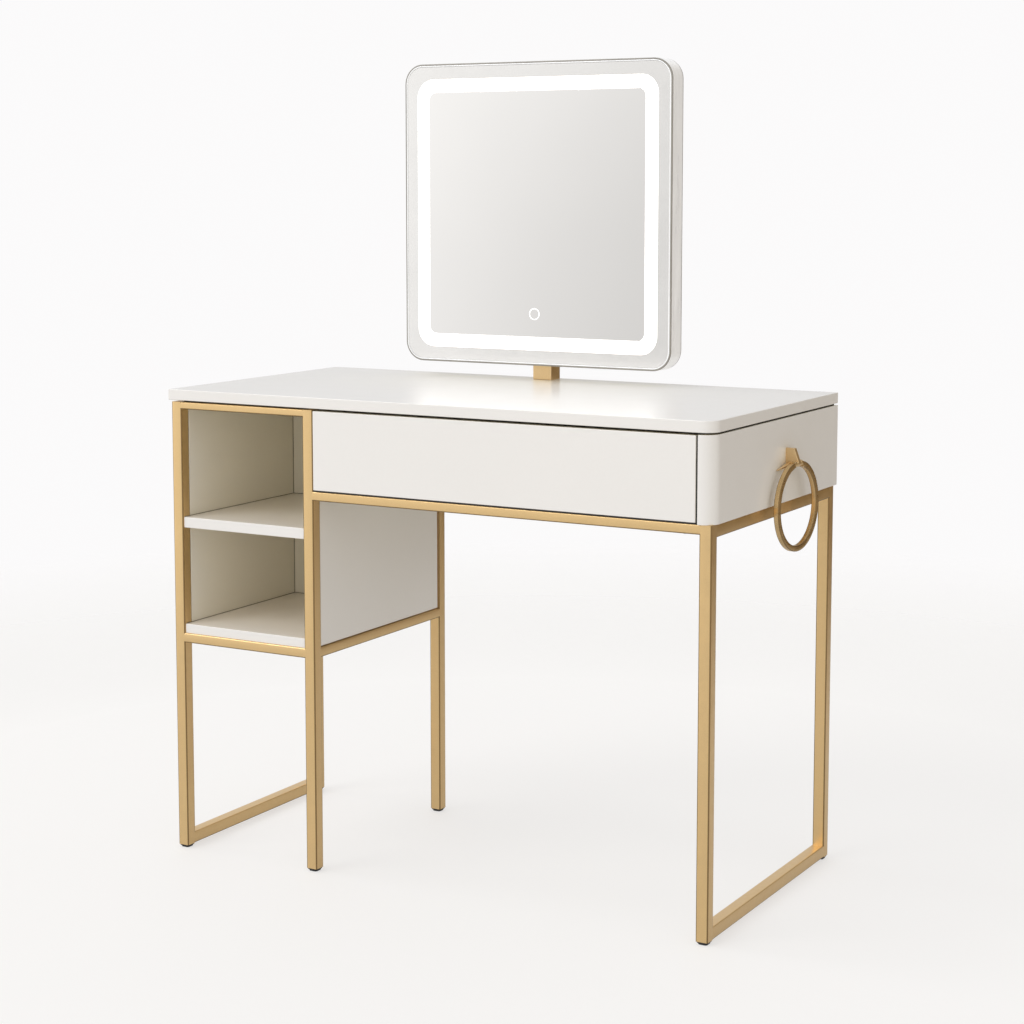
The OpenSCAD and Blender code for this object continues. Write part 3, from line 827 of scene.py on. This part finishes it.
def make_mirror_back(centre, size, back):
    """Screws round the back sheet and two rows of vents over the driver."""
    places = []
    reach = size / 2 - 22 * MM
    for i in (-1, 0, 1):
        for j in (-1, 0, 1):
            if (i, j) != (0, 0) and (i, j) != (0, -1):
                places.append((centre.x + i * reach, back, centre.z + j * reach))
    places.append((centre.x - 50 * MM, back, centre.z - reach))
    places.append((centre.x + 50 * MM, back, centre.z - reach))
    cross_screws("back_screws", places, (0, 1, 0), 3.2 * MM, "mirror")
    lo, hi = span("led_driver")
    bm = bmesh.new()
    for row in (-1, 1):
        for i in range(9):
            x = (lo.x + hi.x) / 2 + (i - 4) * 9 * MM
            z = (lo.z + hi.z) / 2 + row * 14 * MM
            outline = [(x + u, z + v) for u, v in round_rect(3 * MM, 18 * MM, 1.45 * MM, 6)]
            extrude(bm, outline, back - 0.2 * MM, back + 0.15 * MM, 1)
    finish_mesh("vent_slots", bm, "mirror", "black_plastic", angle=30)


# ---------------------------------------------------------------- ring

def ring_axes():
    """The pin's centre, and the ways along it to the back, out from the panel, and up."""
    joint = JOINTS["ring_swing"]
    along = -Vector(joint["axis"]).normalized()
    return Vector(joint["pos_m"]), along, Vector((along.y, -along.x, 0)), Vector((0, 0, 1))


def make_ring():
    """The bar is a square with soft edges, bent round, and ends in two knuckles. The soft edges away from the
    knuckles are painted dark as shade.
    """
    pin, along, out, up = ring_axes()
    lo = span("swing_ring")[0]
    knuckle_r = 5 * MM
    bar = 8 * MM
    outer = (pin.z + bar / 2 - lo.z) / 2
    mid = outer - bar / 2
    centre = pin - Vector((0, 0, mid))
    half_gap = 13.2 * MM
    start = math.asin(half_gap / mid)
    half_u, half_v = bar / 2 + 0.6 * MM, bar / 2 + 0.4 * MM
    section = round_rect(2 * half_u, 2 * half_v, 1.3 * MM, 4)
    steps = 160
    rings = []
    for i in range(steps + 1):
        a = start + (2 * math.pi - 2 * start) * i / steps
        ray = along * math.sin(a) + up * math.cos(a)
        rings.append([centre + ray * (mid + u) + out * v for u, v in section])
    bm = bmesh.new()
    loft(bm, rings, closed=False)
    for side in (-1, 1):
        inner = 7.45 * MM
        length = 6 * MM
        c = 0.6 * MM
        lathe(bm, [(knuckle_r - c, 0), (knuckle_r, c), (knuckle_r, length - c), (knuckle_r - c, length)],
              pin + along * (side * inner), along * side, 36)
    piece = finish_mesh("swing_ring_bar", bm, "ring", "gold_fitting", angle=40,
                        material=MATERIALS["ring_metal"])
    # Painted shade: the ring's rounded edges, away from the knuckles, take the dark edge finish.
    piece.data.materials.append(MATERIALS["gold_painted_shade_edge"])
    for face in piece.data.polygons:
        ray = face.center - centre
        aside = abs(ray.dot(out))
        off_mid = abs(math.hypot(ray.dot(along), ray.z) - mid)
        flat = aside > half_v - 0.03 * MM or off_mid > half_u - 0.03 * MM
        if not flat and (face.center - pin).length > 18 * MM:
            face.material_index = 1
    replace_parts(piece, "swing_ring")


def make_ring_bracket():
    """A slim upright lug with a hub for the pin and a pointed horn toward the front."""
    pin, along, out, up = ring_axes()
    half = 4.2 * MM
    # Out from the pin and up from it, in millimetres.
    outline = [(-18.4, 24), (-3.8, 24), (-3.0, 23), (4.9, 2.4), (5.2, 0), (4.4, -2.8), (2.0, -4.8),
               (-18.4, -9)]
    bm = bmesh.new()
    sides = [[pin + out * (u * MM) + up * (w * MM) + along * v for u, w in outline]
             for v in (-half, half)]
    loft(bm, sides, closed=False)
    piece = finish_mesh("ring_lug", bm, "table", "gold_fitting", 0.9 * MM, angle=24)
    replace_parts(piece, "ring_bracket")
    bm = bmesh.new()
    hub = [(4.4, -7.1), (5.0, -6.5), (5.0, 6.5), (4.4, 7.1)]
    lathe(bm, [(r * MM, t * MM) for r, t in hub], pin, along, 36)
    root = pin - out * (11.5 * MM) - along * (3 * MM) - up * (2.5 * MM)
    horn = [(5.2, 0), (4.9, 5), (3.4, 17), (1.9, 29), (1.0, 38), (0.3, 42)]
    lathe(bm, [(r * MM, t * MM) for r, t in horn], root, -along - out * 0.06 - up * 0.12, 36)
    finish_mesh("ring_hub_and_horn", bm, "table", "gold_fitting", angle=40)


# ---------------------------------------------------------------- plain CAD nodes

def dress(node, slot, bevel=0.0):
    """A CAD node that keeps its own shape: joined-up faces, broken edges and the slot's finish."""
    piece = frame["nodes"][node]
    piece.data.materials.clear()
    piece.data.materials.append(MATERIALS[slot])
    weld = piece.modifiers.new("weld", "WELD")
    weld.merge_threshold = 1e-6
    if bevel:
        break_edges(piece, bevel, 35)
    flat = piece.modifiers.new("flat", "WEIGHTED_NORMAL")
    flat.keep_sharp = False


def make_plain():
    """Dresses every CAD node that no piece above stands for. Bevels are in millimetres."""
    slots = {p["node"]: p["material_slot"] for p in frame["record"]["subparts"]}
    bevels = {"post": 1.0, "post_head": 0.8, "hinge_bracket": 0.5, "ring_pin": 0.3,
              "back_apron": 0.6, "reveal_battens": 0.2, "push_latch": 0.6, "mirror_back": 0.6,
              "power_inlet": 0.4, "hinge_pin": 0.5, "runner_fixed": 0.2, "runner_middle": 0.2,
              "runner_drawer": 0.2, "led_driver": 0.8, "post_bolts": 0.4}
    for node, piece in frame["nodes"].items():
        if not piece.hide_render:
            dress(node, slots[node], bevels.get(node, 0) * MM)


# ---------------------------------------------------------------- small parts

def make_fasteners():
    """Screws that hold the back boards, seen from behind and below."""
    lo, hi = span("tower_panel_back")
    places = [(x, hi.y, z) for x in (lo.x + 12 * MM, hi.x - 12 * MM)
              for z in (lo.z + 40 * MM, (lo.z + hi.z) / 2, hi.z - 40 * MM)]
    cross_screws("tower_back_screws", places, (0, 1, 0), 3.0 * MM, "table")
    lo, hi = span("back_apron")
    places = [(x, hi.y, z) for x in (lo.x + 14 * MM, hi.x - 30 * MM)
              for z in (lo.z + 45 * MM, hi.z - 25 * MM)]
    cross_screws("apron_screws", places, (0, 1, 0), 3.4 * MM, "table")
    lo, hi = span("rail_side_right")
    places = [((lo.x + hi.x) / 2, lo.y + t * (hi.y - lo.y), lo.z) for t in (0.15, 0.85)]
    cross_screws("side_rail_screws", places, (0, 0, -1), 3.2 * MM, "table")
    lo, hi = span("rail_drawer_front")
    places = [(lo.x + t * (hi.x - lo.x), (lo.y + hi.y) / 2, lo.z) for t in (0.04, 0.96)]
    cross_screws("front_rail_screws", places, (0, 0, -1), 3.2 * MM, "table")


def make_runner_balls():
    """Two rows of balls on each middle member."""
    lo, hi = span("runner_middle")
    bm = bmesh.new()
    for x0 in (lo.x + 3.5 * MM, hi.x - 3.5 * MM):
        for z in (lo.z - 1.6 * MM, hi.z + 1.6 * MM):
            for i in range(12):
                y = lo.y + (30 + i * 9) * MM
                bmesh.ops.create_uvsphere(bm, u_segments=14, v_segments=8, radius=1.15 * MM,
                                          matrix=Matrix.Translation((x0, y, z)))
    finish_mesh("runner_balls", bm, "runner_slides", "zinc_steel", angle=60)


def make_gap_shade_seals():
    """Black brush seals in the gaps round the drawer front: one on the rail, two on the front's ends. Their black
    is also a painted shade that darkens the gaps.
    """
    front_lo, front_hi = span("drawer_front")
    leg_lo, leg_hi = span("leg_tower_front")
    panel_lo = span("side_panel_right")[0]
    rail_lo, rail_hi = span("rail_drawer_front")
    clear = 0.35 * MM
    end = front_hi.y - 3 * MM
    sill = ((leg_hi.x, rail_lo.y + 1.2 * MM, rail_hi.z), (panel_lo.x, front_hi.y, front_lo.z - clear))
    left = ((leg_hi.x + clear, leg_lo.y + 3 * MM, front_lo.z), (front_lo.x, end, front_hi.z - clear))
    right = ((front_hi.x, front_lo.y + 2.2 * MM, front_lo.z), (panel_lo.x - clear, end, front_hi.z - clear))
    for name, body, strips in (("sill_shade_seal", "table", [sill]), ("end_shade_seals", "drawer", [left, right])):
        bm = bmesh.new()
        for lo, hi in strips:
            extrude(bm, corners(lo, hi), lo[2], hi[2])
        finish_mesh(name, bm, body, "black_plastic", 0.12 * MM)


def make_drawer_fittings():
    """Connector heads inside the drawer's four corners."""
    for node in ("drawer_side_left", "drawer_side_right"):
        lo, hi = span(node)
        inner = hi.x if node.endswith("left") else lo.x
        direction = (1, 0, 0) if node.endswith("left") else (-1, 0, 0)
        places = [(inner, lo.y + 24 * MM, lo.z + t * (hi.z - lo.z)) for t in (0.3, 0.78)]
        places += [(inner, hi.y - 26 * MM, lo.z + t * (hi.z - lo.z)) for t in (0.3, 0.78)]
        cross_screws("cam_" + node, places, direction, 5.0 * MM, "drawer")


# ---------------------------------------------------------------- studio

# The dome's zones: a colour each, and below them the direction that each lies toward.
BRIGHT = (1.10, 1.09, 1.07)
DIM = (0.98, 0.90, 0.775)
OVERHEAD = (0.78, 0.79, 0.815)
SHADE = (0.16, 0.105, 0.045)
BACK = (0.70, 0.70, 0.70)
UNDER = (0.64, 0.60, 0.54)
FLAG = (0.63, 0.628, 0.625)
NO_FLAG = (0.955, 0.955, 0.955)
KEY_SIDE = (-0.60, -0.62, 0.50)
SHADE_SIDE = (0.50, 0.86, -0.05)
BACK_SIDE = (-0.40, 0.90, 0.14)
FLAG_SIDE = (-0.30, -0.94, -0.12)
BACKDROP = (0.968, 0.960, 0.962)
CAMERA_PLACE = (1.7546, -3.0936, 1.1378)
CAMERA_AZIMUTH = 29.442
CAMERA_PITCH = 6.162
LENS = 75.56
SHIFT = -0.097
# Each sun: its name, where it shines from, strength, width in degrees and colour.
SUNS = (("key", (-0.48, -0.68, 0.70), 0.80, 34, (1.0, 0.99, 0.975)),
        ("edge", (-0.49, -0.08, 0.85), 0.28, 14, (1.0, 1.0, 1.0)))


def make_camera():
    camera = bpy.data.objects.new("camera", bpy.data.cameras.new("camera"))
    bpy.context.scene.collection.objects.link(camera)
    camera.location = CAMERA_PLACE
    camera.rotation_euler = (math.radians(90 - CAMERA_PITCH), 0, math.radians(CAMERA_AZIMUTH))
    camera.data.lens = LENS
    camera.data.sensor_width = 36
    camera.data.shift_y = SHIFT
    camera.data.clip_start, camera.data.clip_end = 0.05, 60
    bpy.context.scene.camera = camera


def sun_light(name, toward, strength, spread, colour):
    """A very wide sun: an even soft light from one side. spread is its angle in degrees."""
    light = bpy.data.lights.new(name, "SUN")
    light.energy = strength
    light.angle = math.radians(spread)
    light.color = colour
    lamp = bpy.data.objects.new(name, light)
    bpy.context.scene.collection.objects.link(lamp)
    lamp.rotation_euler = Vector(toward).to_track_quat("Z", "Y").to_euler()


def dome_colour(tree):
    """The dome's colour by world direction.

    It is bright to the front left and dimmer and warmer to the back right, with a deep warm patch
    there. It is grey overhead, to the back left and below, and a flag dims it low at the front.
    """
    place = tree.nodes.new("ShaderNodeTexCoord")

    def ramp(direction, start, end):
        """0 to 1 as the cosine of the angle from direction goes from start to end."""
        toward = tree.nodes.new("ShaderNodeVectorMath")
        toward.operation = "DOT_PRODUCT"
        toward.inputs[1].default_value = Vector(direction).normalized()
        tree.links.new(place.outputs["Generated"], toward.inputs[0])
        step = tree.nodes.new("ShaderNodeMapRange")
        step.interpolation_type = "SMOOTHSTEP"
        step.inputs["From Min"].default_value = start
        step.inputs["From Max"].default_value = end
        tree.links.new(toward.outputs["Value"], step.inputs["Value"])
        return step.outputs["Result"]

    sky = mix_colours(tree, ramp(KEY_SIDE, -0.75, 0.85), DIM, BRIGHT)
    sky = mix_colours(tree, ramp((0, 0, 1), 0.25, 0.85), sky, OVERHEAD)
    sky = mix_colours(tree, ramp(BACK_SIDE, 0.86, 0.98), sky, BACK)
    sky = mix_colours(tree, ramp(SHADE_SIDE, 0.66, 0.95), sky, SHADE)
    sky = mix_colours(tree, ramp((0, 0, -1), 0.10, 0.60), sky, UNDER)
    card = mix_colours(tree, ramp(FLAG_SIDE, 0.950, 1.0), NO_FLAG, FLAG)
    return mix_colours(tree, 1.0, sky, card, "MULTIPLY")


def make_world():
    """A pale dome that lights the table, seen by the camera as one plain backdrop."""
    world = bpy.data.worlds.new("studio")
    bpy.context.scene.world = world
    world.use_nodes = True
    tree = world.node_tree
    dome = tree.nodes["Background"]
    tree.links.new(dome_colour(tree), dome.inputs["Color"])
    plain = tree.nodes.new("ShaderNodeBackground")
    plain.inputs["Color"].default_value = (*BACKDROP, 1)
    seen = tree.nodes.new("ShaderNodeLightPath")
    choice = tree.nodes.new("ShaderNodeMixShader")
    tree.links.new(seen.outputs["Is Camera Ray"], choice.inputs[0])
    tree.links.new(dome.outputs[0], choice.inputs[1])
    tree.links.new(plain.outputs[0], choice.inputs[2])
    tree.links.new(choice.outputs[0], tree.nodes["World Output"].inputs["Surface"])


def make_floor():
    """A round sheet of paper under the table."""
    bm = bmesh.new()
    extrude(bm, arc(0, 0, FLOOR_RADIUS, 0, 360 - 360 / 96, 95), -4 * MM, 0)
    floor = as_object("floor", bm)
    floor.data.materials.append(floor_paper())


def make_studio():
    make_camera()
    make_world()
    make_floor()
    for sun in SUNS:
        sun_light(*sun)
    bpy.context.scene.view_settings.view_transform = "Standard"


make_studio()
make_frame()
make_glides()
make_case()
make_mirror()
make_ring()
make_ring_bracket()
make_plain()
make_fasteners()
make_runner_balls()
make_drawer_fittings()
make_gap_shade_seals()
